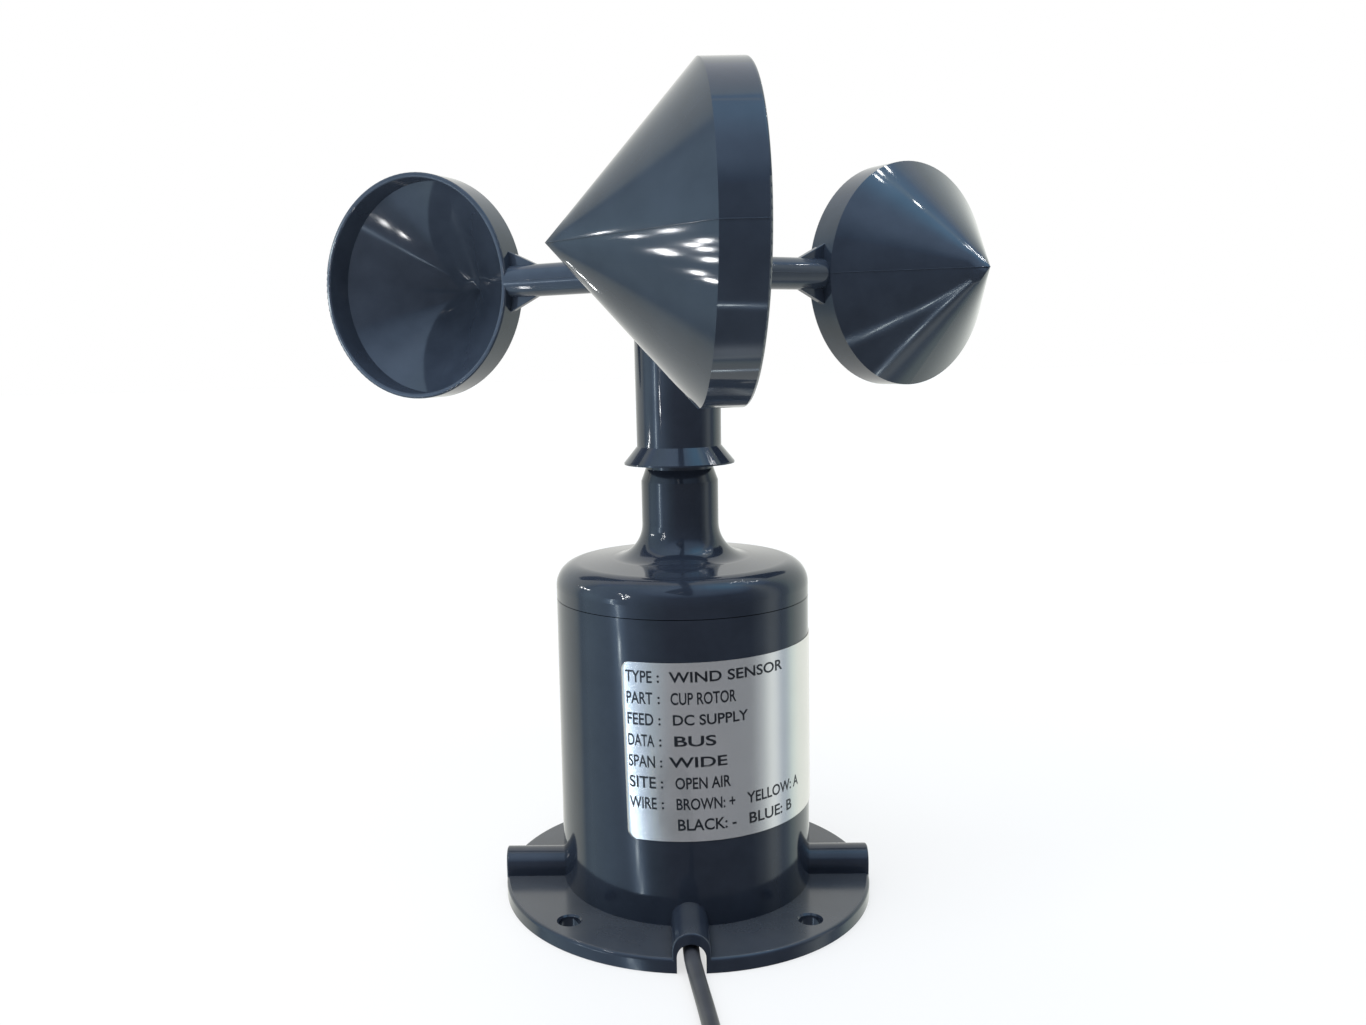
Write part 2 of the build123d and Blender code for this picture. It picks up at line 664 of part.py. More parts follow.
def make_rotor_hub():
    outer = spin([
        (0, SKIRT_Z), (SKIRT_R, SKIRT_Z), (SKIRT_R, SKIRT_Z + SKIRT_EDGE), (HUB_R, SKIRT_TOP_Z),
        (HUB_TOP_R, HUB_TOP_Z - 1.2), (HUB_TOP_R - 1.2, HUB_TOP_Z), (0, HUB_TOP_Z)])
    cavity = spin([
        (0, SKIRT_Z - 1), (SKIRT_R - 0.5, SKIRT_Z - 1), (SKIRT_R - 0.5, SKIRT_Z), (HUB_CAVITY_R, SKIRT_TOP_Z - 0.4),
        (HUB_CAVITY_R, HUB_CAVITY_Z), (0, HUB_CAVITY_Z)])
    hub = outer - cavity
    hub += rod(3.0, UPPER_BEARING_Z + BEARING_W, HUB_CAVITY_Z + 0.5)
    bore = rod(SHAFT_R, UPPER_BEARING_Z, HUB_TOP_Z + 1)
    flat = Pos(0, SHAFT_R + 0.62, (100 + NUT_SEAT_Z) / 2) * Box(6, 2, NUT_SEAT_Z - 100)
    hub -= bore - flat
    hub -= rod(NUT_POCKET_R, NUT_SEAT_Z, HUB_TOP_Z + 1)
    for k in range(3):
        socket = rod_y(ARM_R + 0.01, -HUB_R - 3, -ARM_START, 0, ARM_Z)
        hub -= Rot(0, 0, ROTOR_ANGLE + 120 * k) * socket
    return hub


def make_hub_nut():
    nut = extrude(RegularPolygon(4.04, 6), 3.2)
    nut &= Pos(0, 0, 1.6) * Cone(5.6, 3.7, 3.2)
    nut = Pos(0, 0, NUT_SEAT_Z + 0.8) * nut
    return nut - rod(SHAFT_R, NUT_SEAT_Z, HUB_TOP_Z)


def make_hub_cap():
    """Push-in plug that closes the nut pocket in the top of the hub."""
    cap = rod(NUT_POCKET_R - 0.02, HUB_TOP_Z - 2.6, HUB_TOP_Z) + rod(6.2, HUB_TOP_Z, HUB_TOP_Z + 1.2)
    cap = fillet(cap.edges().group_by(Axis.Z)[-1], 0.8)
    return cap - rod(3.9, HUB_TOP_Z - 3, HUB_TOP_Z - 0.6)


# ------------------------------------------------------------------ write every node
def main():
    os.makedirs(PARTS, exist_ok=True)
    export("base_housing", make_base_housing())
    export("bottom_cover", make_bottom_cover())
    export("cover_gasket", make_cover_gasket())
    export("cover_screws", make_cover_screws())
    export("upper_cap", make_upper_cap())
    export("cap_o_ring", make_o_ring())
    export("spec_label", make_label())
    for name, z0 in (("upper", UPPER_BEARING_Z), ("lower", LOWER_BEARING_Z)):
        export(name + "_bearing_outer", bearing_outer(z0))
        export(name + "_bearing_inner", bearing_inner(z0))
        export(name + "_bearing_shields", bearing_shields(z0))
        export(name + "_bearing_balls", bearing_balls(z0))
        export(name + "_bearing_cage", bearing_cage(z0))
    export("shaft", make_shaft())
    export("shaft_clip", make_shaft_clip())
    export("bearing_spacer", make_bearing_spacer())
    export("encoder_disc", make_encoder_disc())
    export("encoder_collar", make_encoder_collar())
    export("collar_screw", make_collar_screw())
    export("pcb", make_pcb())
    export("pcb_standoffs", make_standoffs())
    export("pcb_screws", make_pcb_screws())
    export("terminal_block", make_terminal_block())
    export("terminal_screws", make_terminal_screws())
    export("opto_sensor", make_opto_sensor())
    export("controller_chip", make_chip(7.0, 4.4, 1.2, 9.0, -9.0, 7))
    export("driver_chip", make_chip(5.0, 3.9, 1.2, -12.0, 7.6, 4))
    export("capacitors", make_capacitors())
    export("regulator", make_regulator())
    for k, colour in enumerate(WIRE_COLOURS):
        export("wire_" + colour, bent_tube("wire_" + colour, inner_wire(k), WIRE_R))
    export("cable_grommet", make_grommet())
    export("cable_lead_in", make_lead_in())
    export("cable_tie", make_cable_tie())
    export("cable", bent_tube("cable", CABLE_ROUTE, CABLE_R))
    export("cable_coil", make_coil())
    export("cable_tail", bent_tube("cable_tail", TAIL_ROUTE, CABLE_R))
    for k, colour in enumerate(WIRE_COLOURS):
        export("end_wire_" + colour, make_end_wire("end_wire_" + colour, k))
    export("end_wire_tips", make_end_tips())
    cup_arm = make_cup_arm()
    for k in range(3):
        export(f"cup_arm_{k + 1}", Rot(0, 0, ROTOR_ANGLE + 120 * k) * cup_arm)
    export("rotor_hub", make_rotor_hub())
    export("hub_washer", ring(4.4, SHAFT_R + 0.1, NUT_SEAT_Z, NUT_SEAT_Z + 0.8))
    export("hub_nut", make_hub_nut())
    export("hub_cap", make_hub_cap())


main()
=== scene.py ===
import json
import math

import bmesh
import bpy
from mathutils import Matrix, Vector


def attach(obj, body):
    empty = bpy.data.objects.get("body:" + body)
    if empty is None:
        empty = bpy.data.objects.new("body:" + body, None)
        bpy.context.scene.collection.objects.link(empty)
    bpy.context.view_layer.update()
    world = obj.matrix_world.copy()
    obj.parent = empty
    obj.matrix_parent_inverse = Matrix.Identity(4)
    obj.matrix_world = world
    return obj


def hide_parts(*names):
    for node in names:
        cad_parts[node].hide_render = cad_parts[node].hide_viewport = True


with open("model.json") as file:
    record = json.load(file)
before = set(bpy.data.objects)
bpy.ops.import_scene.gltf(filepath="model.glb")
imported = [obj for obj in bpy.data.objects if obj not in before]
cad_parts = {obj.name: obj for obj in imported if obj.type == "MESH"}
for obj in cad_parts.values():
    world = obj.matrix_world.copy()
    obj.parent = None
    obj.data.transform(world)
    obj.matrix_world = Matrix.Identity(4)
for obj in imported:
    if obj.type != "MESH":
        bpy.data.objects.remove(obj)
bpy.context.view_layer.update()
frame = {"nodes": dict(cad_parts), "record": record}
MM = 0.001
scene = bpy.context.scene


def link(obj):
    scene.collection.objects.link(obj)
    return obj


# ------------------------------------------------------------------ camera
CAMERA_ANGLES = (-2.6875, -9.725, -1.615)  # heading, pitch and roll in degrees
CAMERA_PLACE = (-0.00423, -0.24259, 0.11575)
CAMERA_LENS = 30.32
SENSOR_W = 36.0
NEAREST = 0.01
CAMERA_SHIFT = (0.0550, 0.0317)


def make_camera():
    heading, pitch, roll = (math.radians(a) for a in CAMERA_ANGLES)
    level = math.cos(pitch)
    forward = Vector((math.sin(heading) * level, math.cos(heading) * level, math.sin(pitch)))
    right = Vector((math.cos(heading), -math.sin(heading), 0))
    up = right.cross(forward)
    axis_x = math.cos(roll) * right + math.sin(roll) * up
    axis_y = -math.sin(roll) * right + math.cos(roll) * up
    camera = bpy.data.cameras.new("camera")
    camera.sensor_width = SENSOR_W
    camera.lens = CAMERA_LENS
    camera.shift_x, camera.shift_y = CAMERA_SHIFT
    camera.clip_start = NEAREST
    view = link(bpy.data.objects.new("camera", camera))
    rows = [(axis_x[i], axis_y[i], -forward[i], CAMERA_PLACE[i]) for i in range(3)]
    view.matrix_world = Matrix(rows + [(0, 0, 0, 1)])
    scene.camera = view


make_camera()


# ------------------------------------------------------------------ the cable
CABLE_D = 0.0032
POINT_RADIUS = 0.001  # small, because a curve's bound box grows by the radius of its points
LEAD = [
    (0.0, -31.0, 5.0), (-0.2, -38.0, 3.5), (0.9, -45.5, 2.2), (2.1, -54.0, 1.66),
    (3.2, -64.0, 1.62), (4.4, -75.0, 1.62), (5.0, -86.0, 1.62)]
COIL = (-17.5, -97.0)
COIL_R = (22.4, 15.9)
LAYERS = (1.62, 4.92)
LAYER_TURNS = (2.0, 2.25)
STEPS = 14  # points in one turn
CLIMB = 5  # points over which the cable climbs to the upper layer
CABLE_SMOOTHNESS = 8
TAIL = [(-29.0, -119.6, 3.35), (-40.4, -116.3, 1.75), (-48.5, -109.6, 1.65)]


def coil_points():
    """Spare turns: the lower layer winds inwards clockwise, the upper one back outwards."""
    points = []
    for layer, turns in enumerate(LAYER_TURNS):
        first = layer * LAYER_TURNS[0]
        for k in range(int(turns * STEPS)):
            share = k / STEPS / turns
            inward = share if layer == 0 else 1 - share
            r = COIL_R[0] + (COIL_R[1] - COIL_R[0]) * inward
            z = LAYERS[0] + (LAYERS[1] - LAYERS[0]) * layer * min(1, k / CLIMB)
            a = -2 * math.pi * (first + k / STEPS)
            points.append((COIL[0] + r * math.cos(a), COIL[1] + r * math.sin(a), z))
    return points


def make_cable():
    points = LEAD + coil_points() + TAIL
    curve = bpy.data.curves.new("cable_run", "CURVE")
    curve.dimensions = "3D"
    curve.bevel_depth = CABLE_D / 2 / POINT_RADIUS
    curve.bevel_resolution = CABLE_SMOOTHNESS
    curve.resolution_u = CABLE_SMOOTHNESS
    curve.use_fill_caps = True
    spline = curve.splines.new("NURBS")
    spline.points.add(len(points) - 1)
    for p, co in zip(spline.points, points):
        p.co = (co[0] * MM, co[1] * MM, co[2] * MM, 1)
        p.radius = POINT_RADIUS
    spline.order_u = 3
    spline.use_endpoint_u = True
    cable = link(bpy.data.objects.new("cable_run", curve))
    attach(cable, "stator")
    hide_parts("cable", "cable_coil", "cable_tail")
    return cable


cable = make_cable()


# ------------------------------------------------------------------ moulding lines on the cups
ARM_Z = 133.0
ROTOR_ANGLE = 5.0
BEAD_R = 0.08
BEAD_STEP = 1.5
BEAD_THIN, BEAD_SWELL = 0.75, 0.5  # least share of the radius, and what the swelling adds
BEAD_WAVES = (3.1, 1.7)  # how fast the swelling changes along x and y
BEAD_SMOOTHNESS = 2
BEAD_LINES = [
    [(-3.45, -10.5), (-3.45, -38.9)],
    [(3.45, -10.5), (3.45, -39.1)],
    [(2.9, -39.2), (-3.8, -39.2), (-25.9, -63.9), (-26.2, -64.4), (-25.9, -64.9), (-3.8, -89.6),
     (2.9, -89.6)]]


def solid_mesh(curve):
    """Mesh of a curve or of lettering; the curve itself is dropped."""
    drawn = link(bpy.data.objects.new("drawn", curve))
    bpy.context.view_layer.update()
    mesh = bpy.data.meshes.new_from_object(drawn.evaluated_get(bpy.context.evaluated_depsgraph_get()))
    mesh.name = curve.name
    bpy.data.objects.remove(drawn)
    return mesh


def make_moulding_lines(k):
    """Fine bead the mould's parting plane leaves along one arm and its cup."""
    curve = bpy.data.curves.new("moulding_lines_%d" % (k + 1), "CURVE")
    curve.dimensions = "3D"
    curve.bevel_depth = BEAD_R * MM
    curve.bevel_resolution = BEAD_SMOOTHNESS
    curve.use_fill_caps = True
    turn = Matrix.Rotation(math.radians(ROTOR_ANGLE + 120 * k), 3, "Z")
    for line in BEAD_LINES:
        spline = curve.splines.new("POLY")
        steps = []
        for (x0, y0), (x1, y1) in zip(line, line[1:]):
            count = max(1, round(math.hypot(x1 - x0, y1 - y0) / BEAD_STEP))
            steps += [(x0 + (x1 - x0) * i / count, y0 + (y1 - y0) * i / count) for i in range(count)]
        steps.append(line[-1])
        spline.points.add(len(steps) - 1)
        for point, (x, y) in zip(spline.points, steps):
            point.co = (*(turn @ Vector((x * MM, y * MM, ARM_Z * MM))), 1)
            wave = math.sin(BEAD_WAVES[0] * x + BEAD_WAVES[1] * y)
            point.radius = BEAD_THIN + BEAD_SWELL * wave ** 2
    bead = link(bpy.data.objects.new(curve.name, solid_mesh(curve)))
    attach(bead, "rotor")
    return bead


beads = [make_moulding_lines(k) for k in range(3)]


# ------------------------------------------------------------------ label and its print
BODY_R_FOOT = 27.2
BODY_TAPER = 0.45  # loss of radius over the height BODY_H
BODY_H = 65.9
LABEL_START = -26.9
LABEL_W = 60.0
LABEL_Z0 = 21.2
LABEL_H = 36.4
LABEL_CORNER = 1.7
LABEL_T = 0.15
LABEL_GAP = 0.02
LABEL_R = 27.15  # radius at which widths on the label are measured
LABEL_TILT = math.radians(1.2)
LABEL_TILT_ACROSS = 0.5  # share of the tilt that the level edges and the rows take
LABEL_COLUMNS = 90
CORNER_ROWS = 6
PLAIN_ROWS = 24
SMOOTH_AREA = 1e-7  # faces of the sheet above this area are smooth, the thin edge's are flat
INK_LIFT = 0.008
INK_T = 0.012
INK_BOLD = 0.05
INK_SMOOTHNESS = 4
INK_WELD = 1e-7
ROW_DROP = 0.35  # from a row's middle to its base line, as a share of the letter size
HEADING, COLON = (0.8, 5.6, 3.4), (7.3, 0, 3.0)  # place from the left edge, width and letter size
# Each row: height of its middle, heading, then the words with place, width and letter size.
PRINT_ROWS = [
    (54.8, "TYPE", [("WIND SENSOR", 9.9, 25.0, 2.95)]),
    (50.5, "PART", [("CUP ROTOR", 9.9, 13.2, 3.4)]),
    (46.2, "FEED", [("DC SUPPLY", 10.1, 15.5, 2.95)]),
    (41.9, "DATA", [("BUS", 10.1, 8.6, 2.95)]),
    (37.6, "SPAN", [("WIDE", 9.3, 11.5, 2.95)]),
    (33.3, "SITE", [("OPEN AIR", 10.2, 11.2, 3.3)]),
    (29.0, "WIRE", [("BROWN: +", 10.2, 12.0, 3.3), ("YELLOW: A", 24.9, 15.2, 3.2)]),
    (24.7, "", [("BLACK: -", 10.3, 12.0, 3.3), ("BLUE: B", 25.0, 12.2, 3.2)])]


def body_radius(z):
    return BODY_R_FOOT - BODY_TAPER * z / BODY_H


def on_label(s, z, lift):
    """Point at arc distance s from the label's left edge; the label sits very slightly crooked."""
    middle_s, middle_z = LABEL_W / 2, LABEL_Z0 + LABEL_H / 2
    arc = s - (z - middle_z) * math.tan(LABEL_TILT)
    height = z + (s - middle_s) * math.tan(LABEL_TILT) * LABEL_TILT_ACROSS
    r = body_radius(height) + lift
    a = math.radians(LABEL_START) + arc / LABEL_R
    return Vector((r * math.sin(a), -r * math.cos(a), height)) * MM


def mesh_object(bm, name):
    """New object from a closed bmesh, with its faces turned outwards."""
    bmesh.ops.recalc_face_normals(bm, faces=bm.faces)
    mesh = bpy.data.meshes.new(name)
    bm.to_mesh(mesh)
    bm.free()
    return link(bpy.data.objects.new(name, mesh))


def sheet_points(bm, lift, heights):
    """Rows of vertices across the label at one distance from the housing."""
    rows = []
    for h in heights:
        dip = max(0.0, LABEL_CORNER - min(h, LABEL_H - h))
        inset = LABEL_CORNER - math.sqrt(LABEL_CORNER ** 2 - dip ** 2)
        span = LABEL_W - 2 * inset
        rows.append([bm.verts.new(on_label(inset + span * k / LABEL_COLUMNS, LABEL_Z0 + h, lift))
                     for k in range(LABEL_COLUMNS + 1)])
    return rows


def make_label():
    """Thin foil sticker with rounded corners, wrapped on the housing."""
    corner = [LABEL_CORNER * (1 - math.cos(math.pi / 2 * k / CORNER_ROWS)) for k in range(CORNER_ROWS)]
    straight = LABEL_H - 2 * LABEL_CORNER
    plain = [LABEL_CORNER + straight * k / PLAIN_ROWS for k in range(PLAIN_ROWS + 1)]
    heights = corner + plain + [LABEL_H - h for h in reversed(corner)]
    bm = bmesh.new()
    inner, outer = (sheet_points(bm, lift, heights) for lift in (LABEL_GAP, LABEL_T))
    last = len(heights) - 1
    for sheet in (inner, outer):
        for j in range(last):
            for k in range(LABEL_COLUMNS):
                bm.faces.new((sheet[j][k], sheet[j][k + 1], sheet[j + 1][k + 1], sheet[j + 1][k]))
    edge = [(0, k) for k in range(LABEL_COLUMNS)] + [(j, LABEL_COLUMNS) for j in range(last)]
    edge += [(last, k) for k in range(LABEL_COLUMNS, 0, -1)] + [(j, 0) for j in range(last, 0, -1)]
    for (j0, k0), (j1, k1) in zip(edge, edge[1:] + edge[:1]):
        bm.faces.new((inner[j0][k0], inner[j1][k1], outer[j1][k1], outer[j0][k0]))
    sheet = mesh_object(bm, "label_sheet")
    for polygon in sheet.data.polygons:
        polygon.use_smooth = polygon.area > SMOOTH_AREA
    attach(sheet, "stator")
    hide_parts("spec_label")
    return sheet


def word_mesh(text, size):
    """Flat letters, a little bolder than the plain font and thin as ink, in millimetres."""
    curve = bpy.data.curves.new("letters", "FONT")
    curve.body = text
    curve.size = size
    curve.offset = INK_BOLD
    curve.extrude = INK_T
    curve.resolution_u = INK_SMOOTHNESS
    return solid_mesh(curve)


def make_label_print():
    """Rows of generic wording bent round the label."""
    bm = bmesh.new()
    for height, heading, values in PRINT_ROWS:
        words = [(heading, *HEADING), (":", *COLON)] + values if heading else values
        for text, left, width, size in words:
            mesh = word_mesh(text, size)
            stretch = width / max(v.co.x for v in mesh.vertices) if width else 1.0
            base = height - ROW_DROP * size
            first = len(bm.verts)
            bm.from_mesh(mesh)
            bpy.data.meshes.remove(mesh)
            bm.verts.ensure_lookup_table()
            for vert in bm.verts[first:]:
                x, y, lift = vert.co
                vert.co = on_label(left + x * stretch, base + y, LABEL_T + INK_LIFT + lift)
    bmesh.ops.remove_doubles(bm, verts=bm.verts, dist=INK_WELD)
    ink = mesh_object(bm, "label_print")
    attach(ink, "stator")
    return ink


label_sheet = make_label()
label_print = make_label_print()


# ------------------------------------------------------------------ shader nodes
def new_material(name):
    mat = bpy.data.materials.new(name)
    mat.use_nodes = True
    return mat, mat.node_tree, mat.node_tree.nodes["Principled BSDF"]


def noise(tree, scale, detail):
    """Noise in the object's own metres."""
    coords = tree.nodes.new("ShaderNodeTexCoord")
    node = tree.nodes.new("ShaderNodeTexNoise")
    tree.links.new(coords.outputs["Object"], node.inputs["Vector"])
    node.inputs["Scale"].default_value = scale
    node.inputs["Detail"].default_value = detail
    return node.outputs["Fac"]


def ramp(tree, source, stops):
    node = tree.nodes.new("ShaderNodeValToRGB")
    elements = node.color_ramp.elements
    while len(elements) < len(stops):
        elements.new(0.5)
    for element, (at, value) in zip(elements, stops):
        element.position = at
        element.color = (*value, 1) if isinstance(value, tuple) else (value, value, value, 1)
    tree.links.new(source, node.inputs["Fac"])
    return node.outputs["Color"]


def math_node(tree, operation, *values):
    """One math node; each input is either a socket or a number."""
    node = tree.nodes.new("ShaderNodeMath")
    node.operation = operation
    for socket, value in zip(node.inputs, values):
        if isinstance(value, (int, float)):
            socket.default_value = value
        else:
            tree.links.new(value, socket)
    return node.outputs[0]


def vector_node(tree, operation, a, b):
    """One vector math node between two sockets."""
    node = tree.nodes.new("ShaderNodeVectorMath")
    node.operation = operation
    tree.links.new(a, node.inputs[0])
    tree.links.new(b, node.inputs[1])
    return node.outputs[0]


def separate(tree, source):
    """Node with the three parts of a vector."""
    node = tree.nodes.new("ShaderNodeSeparateXYZ")
    tree.links.new(source, node.inputs[0])
    return node


def ease(tree, source, low, high, top=1.0):
    """Smooth step from zero at low to top at high."""
    node = tree.nodes.new("ShaderNodeMapRange")
    node.interpolation_type = "SMOOTHSTEP"
    node.inputs["From Min"].default_value = low
    node.inputs["From Max"].default_value = high
    node.inputs["To Max"].default_value = top
    tree.links.new(source, node.inputs["Value"])
    return node.outputs[0]


def mix(tree, factor, a, b):
    """Blend from socket a to the colour b."""
    node = tree.nodes.new("ShaderNodeMix")
    node.data_type = "RGBA"
    node.inputs["B"].default_value = (*b, 1)
    tree.links.new(factor, node.inputs["Factor"])
    tree.links.new(a, node.inputs["A"])
    return node.outputs["Result"]


def tint(tree, factor, colour):
    """Product of a socket and a colour."""
    node = tree.nodes.new("ShaderNodeMix")
    node.data_type = "RGBA"
    node.blend_type = "MULTIPLY"
    node.inputs["Factor"].default_value = 1.0
    node.inputs["B"].default_value = (*colour, 1)
    tree.links.new(factor, node.inputs["A"])
    return node.outputs["Result"]


def bump(tree, shader, layers):
    """Chained bump nodes: (height source, strength, depth in mm)."""
    last = None
    for height, strength, depth in layers:
        node = tree.nodes.new("ShaderNodeBump")
        node.inputs["Strength"].default_value = strength
        node.inputs["Distance"].default_value = depth * MM
        tree.links.new(height, node.inputs["Height"])
        if last:
            tree.links.new(last, node.inputs["Normal"])
        last = node.outputs["Normal"]
    tree.links.new(last, shader.inputs["Normal"])


# ------------------------------------------------------------------ materials
# Painted top light: a lighter colour on upward faces near the floor stands in for the light that falls on
# them from above.
PAINTED_TOP_LIGHT_COLOUR = (0.060, 0.063, 0.066)
PAINTED_TOP_LIGHT_ROUGHNESS = 0.3
PAINTED_TOP_LIGHT_BELOW = 0.02  # metres above the floor
PAINTED_TOP_LIGHT_LEVEL = (0.80, 0.99)  # upward part of the normal where the painted top light starts and where it is full
PAINTED_TOP_LIGHT_PATCHES = (120.0, 6.0)
PLASTIC_IOR = 1.5
# Scale and detail of the noise in the colour and in the roughness.
MOTTLE = (160.0, 4.0)
SMUDGES = (70.0, 5.0)
COARSE_STRENGTH, FINE_STRENGTH = 0.5, 0.4
FINE_GRAIN, FINE_DEPTH = 3.5, 0.35  # the finer bump against the coarser one


def painted_top_light_mask(tree, amount):
    """Painted top light: a lighter patchy colour, only low down, on faces that look upward, where the
    light from above falls.
    """
    geometry = tree.nodes.new("ShaderNodeNewGeometry")
    coords = tree.nodes.new("ShaderNodeTexCoord")
    level = ease(tree, separate(tree, geometry.outputs["Normal"]).outputs["Z"], *PAINTED_TOP_LIGHT_LEVEL, amount)
    patches = ramp(tree, noise(tree, *PAINTED_TOP_LIGHT_PATCHES), [(0.25, 0.55), (0.75, 1.0)])
    height = separate(tree, coords.outputs["Object"]).outputs["Z"]
    near_floor = math_node(tree, "LESS_THAN", height, PAINTED_TOP_LIGHT_BELOW)
    return math_node(tree, "MULTIPLY", math_node(tree, "MULTIPLY", level, patches), near_floor)


def finish_material(name, colours, rough, metallic=0.0, grain=900.0, depth=0.02, painted_top_light=0.0):
    """Colour mottled between two tones, roughness varied by smudges, and a fine bumpy grain."""
    mat, tree, shader = new_material(name)
    colour = ramp(tree, noise(tree, *MOTTLE), [(0.3, colours[0]), (0.7, colours[1])])
    roughness = ramp(tree, noise(tree, *SMUDGES), [(0.3, rough[0]), (0.75, rough[1])])
    # Painted top light: lighter colour and roughness on upward faces low down.
    if painted_top_light:
        top_lit = painted_top_light_mask(tree, painted_top_light)
        colour = mix(tree, top_lit, colour, PAINTED_TOP_LIGHT_COLOUR)
        roughness = mix(tree, top_lit, roughness, (PAINTED_TOP_LIGHT_ROUGHNESS,) * 3)
    tree.links.new(colour, shader.inputs["Base Color"])
    tree.links.new(roughness, shader.inputs["Roughness"])
    shader.inputs["Metallic"].default_value = metallic
    shader.inputs["IOR"].default_value = PLASTIC_IOR
    peel = noise(tree, grain, 2.0)
    fine = noise(tree, grain * FINE_GRAIN, 1.0)
    bump(tree, shader, [(peel, COARSE_STRENGTH, depth), (fine, FINE_STRENGTH, depth * FINE_DEPTH)])
    return mat


METAL = dict(metallic=1.0, depth=0.004)
FINISHES = {
    # black_plastic gets painted top light on its upward faces near the floor.
    "black_plastic": dict(colours=((0.014, 0.018, 0.027), (0.019, 0.024, 0.035)), rough=(0.06, 0.12),
                          grain=1100, depth=0.0018, painted_top_light=0.5),
    "rotor_plastic": dict(colours=((0.021, 0.028, 0.041), (0.028, 0.037, 0.053)), rough=(0.05, 0.10),
                          grain=1100, depth=0.0014),
    "steel": dict(colours=((0.50, 0.50, 0.52), (0.62, 0.62, 0.63)), rough=(0.18, 0.32), **METAL),
    "cage_nylon": dict(colours=((0.60, 0.58, 0.50), (0.70, 0.68, 0.60)), rough=(0.45, 0.6)),
    "spacer_aluminium": dict(colours=((0.62, 0.63, 0.65), (0.74, 0.75, 0.76)), rough=(0.25, 0.4), **METAL),
    "standoff_brass": dict(colours=((0.66, 0.50, 0.22), (0.76, 0.60, 0.30)), rough=(0.2, 0.35), **METAL),
    "soft_rubber": dict(colours=((0.020, 0.020, 0.021), (0.032, 0.032, 0.033)), rough=(0.6, 0.8),
                        grain=1600),
    "label_foil": dict(colours=((0.735, 0.700, 0.665), (0.755, 0.720, 0.685)), rough=(0.17, 0.20),
                       metallic=0.78, grain=2600, depth=0.0015),
    "board_green": dict(colours=((0.012, 0.11, 0.05), (0.02, 0.16, 0.07)), rough=(0.25, 0.4), grain=1500),
    "terminal_green": dict(colours=((0.03, 0.28, 0.12), (0.05, 0.36, 0.17)), rough=(0.35, 0.5)),
    "chip_black": dict(colours=((0.02, 0.02, 0.022), (0.035, 0.035, 0.04)), rough=(0.5, 0.65), grain=2400),
    "matte_black": dict(colours=((0.022, 0.024, 0.028), (0.034, 0.037, 0.042)), rough=(0.5, 0.65),
                        grain=1500),
    "label_ink": dict(colours=((0.005, 0.006, 0.008), (0.009, 0.010, 0.013)), rough=(0.32, 0.45),
                      grain=2600, depth=0.001),
    "cable_jacket": dict(colours=((0.028, 0.028, 0.031), (0.040, 0.040, 0.045)), rough=(0.30, 0.42),
                         grain=1300),
    "bare_copper": dict(colours=((0.62, 0.58, 0.52), (0.75, 0.72, 0.68)), rough=(0.25, 0.4),
                        metallic=1.0, depth=0.01),
    "wire_brown": dict(colours=((0.13, 0.055, 0.025), (0.20, 0.09, 0.04)), rough=(0.35, 0.5)),
    "wire_black": dict(colours=((0.02, 0.02, 0.02), (0.035, 0.035, 0.035)), rough=(0.35, 0.5)),
    "wire_yellow": dict(colours=((0.62, 0.47, 0.05), (0.75, 0.60, 0.08)), rough=(0.35, 0.5)),
    "wire_blue": dict(colours=((0.03, 0.09, 0.35), (0.05, 0.12, 0.45)), rough=(0.35, 0.5)),
}
materials = {slot: finish_material(slot, **finish) for slot, finish in FINISHES.items()}


def paint(obj, slot):
    obj.data.materials.clear()
    obj.data.materials.append(materials[slot])


for part in frame["record"]["subparts"]:
    paint(frame["nodes"][part["node"]], part["material_slot"])
paint(cable, "cable_jacket")
paint(label_sheet, "label_foil")
paint(label_print, "label_ink")
for bead in beads:
    paint(bead, "rotor_plastic")


# ------------------------------------------------------------------ floor and light
FLOOR_HALF = 6
FLOOR_DROP = 0.0001  # keeps the floor clear of the base's underside
FLOOR_TONES = ((0.17, 0.166, 0.162), (0.18, 0.176, 0.172))
FLOOR_CLOUDS = (4.0, 3.0)
FLOOR_ROUGHNESS = 0.8
FLOOR_GLOW = 0.66

# Colour of the surroundings by azimuth in degrees from the front, and round patches of light
# given as ((azimuth, rise), width, colour).
SURROUND = [
    (-180, (1.0, 1.0, 0.96)), (-118, (0.95, 1.0, 0.93)), (-111, (0.85, 0.95, 0.92)),
    (-105, (0.42, 0.56, 0.68)), (-96, (0.62, 0.84, 1.0)), (-74, (0.60, 0.84, 1.08)),
    (-46, (0.50, 0.68, 0.92)), (-30, (0.27, 0.36, 0.44)), (-12, (0.16, 0.17, 0.20)),
    (62, (0.14, 0.16, 0.19)), (74, (0.40, 0.46, 0.50)), (84, (0.88, 0.98, 1.0)),
    (90, (0.80, 0.90, 0.95)), (98, (0.36, 0.45, 0.56)), (105, (0.40, 0.50, 0.58)),
    (113, (0.72, 0.88, 0.85)), (124, (0.92, 1.0, 0.94)), (180, (1.0, 1.0, 0.96))]
GLOWS = [
    ((74, 65), 15, (0.2, 0.8, 1.3)), ((-30, 68), 20, (0.3, 0.4, 0.5)),
    ((58, -79), 5, (1.0, 1.1, 1.2)), ((-88, 6), 12, (0.2, 0.3, 0.35))]
CEILING_RISE = (20, 48)
CEILING_COLOUR = (0.52, 0.72, 1.02)

# A row of ceiling lamps: its azimuth, in radians, bends away from ROW_START with the square of the rise.
ROW_BEND, ROW_START = 2.12, -1.152
ROW_TOP = 0.12
ROW_GLOW_WIDTH, ROW_GLOW_COLOUR = 0.11, (0.8, 1.15, 1.65)
ROW_LINE_WIDTH, ROW_LINE_COLOUR = 0.016, (0.9, 1.0, 1.0)
ROW_LINE_POWER = 19.0
ROW_DOTS, ROW_GAP_LIGHT = 150.0, 0.12

